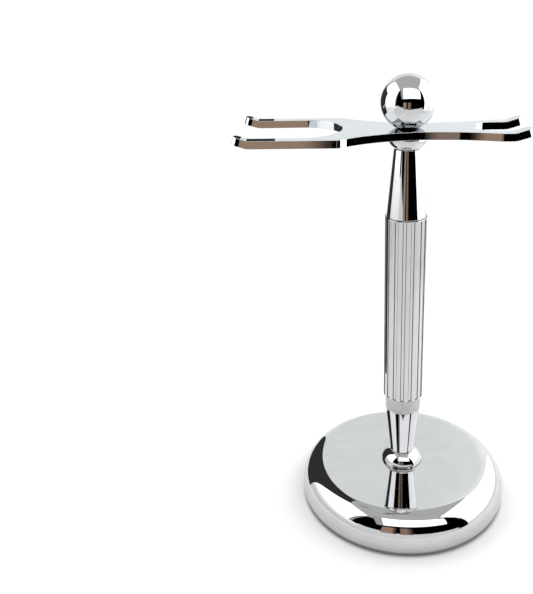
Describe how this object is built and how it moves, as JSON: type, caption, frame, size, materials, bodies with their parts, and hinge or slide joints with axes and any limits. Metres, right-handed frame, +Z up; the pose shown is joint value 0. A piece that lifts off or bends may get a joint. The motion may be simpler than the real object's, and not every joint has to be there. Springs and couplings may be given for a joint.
{
  "type": "razor stand",
  "caption": "Free-standing chrome stand with a weighted round base, fluted post, ball finial and a swivelling plate forked for a shaving brush and a razor.",
  "frame": {"origin": "on the table, on the axis of the post and base", "axes": "+Z up along the post, the brush fork reaches along -X and the razor fork along +X"},
  "size_m": [0.0891, 0.0714, 0.15],
  "materials": {
    "cover_chrome": "polished",
    "post_chrome": "polished",
    "grip_chrome": "polished",
    "plate_chrome": "polished",
    "ball_chrome": "polished",
    "band_satin": "satin",
    "cast_weight": "as cast",
    "pad_rubber": "matte",
    "plain_steel": "zinc plated",
    "spring_steel": "dark oiled",
    "white_nylon": "matte",
    "insert_brass": "turned"
  },
  "bodies": {
    "stand": {"foot_pad": "pad_rubber", "base_cover": "cover_chrome", "base_weight": "cast_weight", "base_plate": "plain_steel", "base_nut": "plain_steel", "lock_washer": "spring_steel", "base_washer": "plain_steel", "foot_ring": "post_chrome", "lower_collar": "post_chrome", "lower_taper": "post_chrome", "band_ring": "band_satin", "grip_sleeve": "grip_chrome", "lower_bush": "white_nylon", "upper_bush": "white_nylon", "upper_taper": "post_chrome", "upper_collar": "post_chrome", "plate_washer": "white_nylon", "tie_rod": "plain_steel"},
    "cradle": {"cradle_plate": "plate_chrome"},
    "finial_core": {"finial_insert": "insert_brass"},
    "finial": {"ball_finial": "ball_chrome"}
  },
  "joints": [
    {"name": "plate_swivel", "type": "hinge", "parent": "stand", "child": "cradle", "pos_m": [0, 0, 0.1322], "axis": [0, 0, 1], "continuous": true},
    {"name": "finial_lift", "type": "slide", "parent": "stand", "child": "finial_core", "axis": [0, 0, 1], "range_m": [0, 0.0064]},
    {"name": "finial_turn", "type": "hinge", "parent": "finial_core", "child": "finial", "pos_m": [0, 0, 0.1414], "axis": [0, 0, 1], "range_deg": [0, 2880]}
  ],
  "couplings": [
    {"joint": "finial_lift", "follows": "finial_turn", "m_per_rad": 0.00012732}
  ]
}
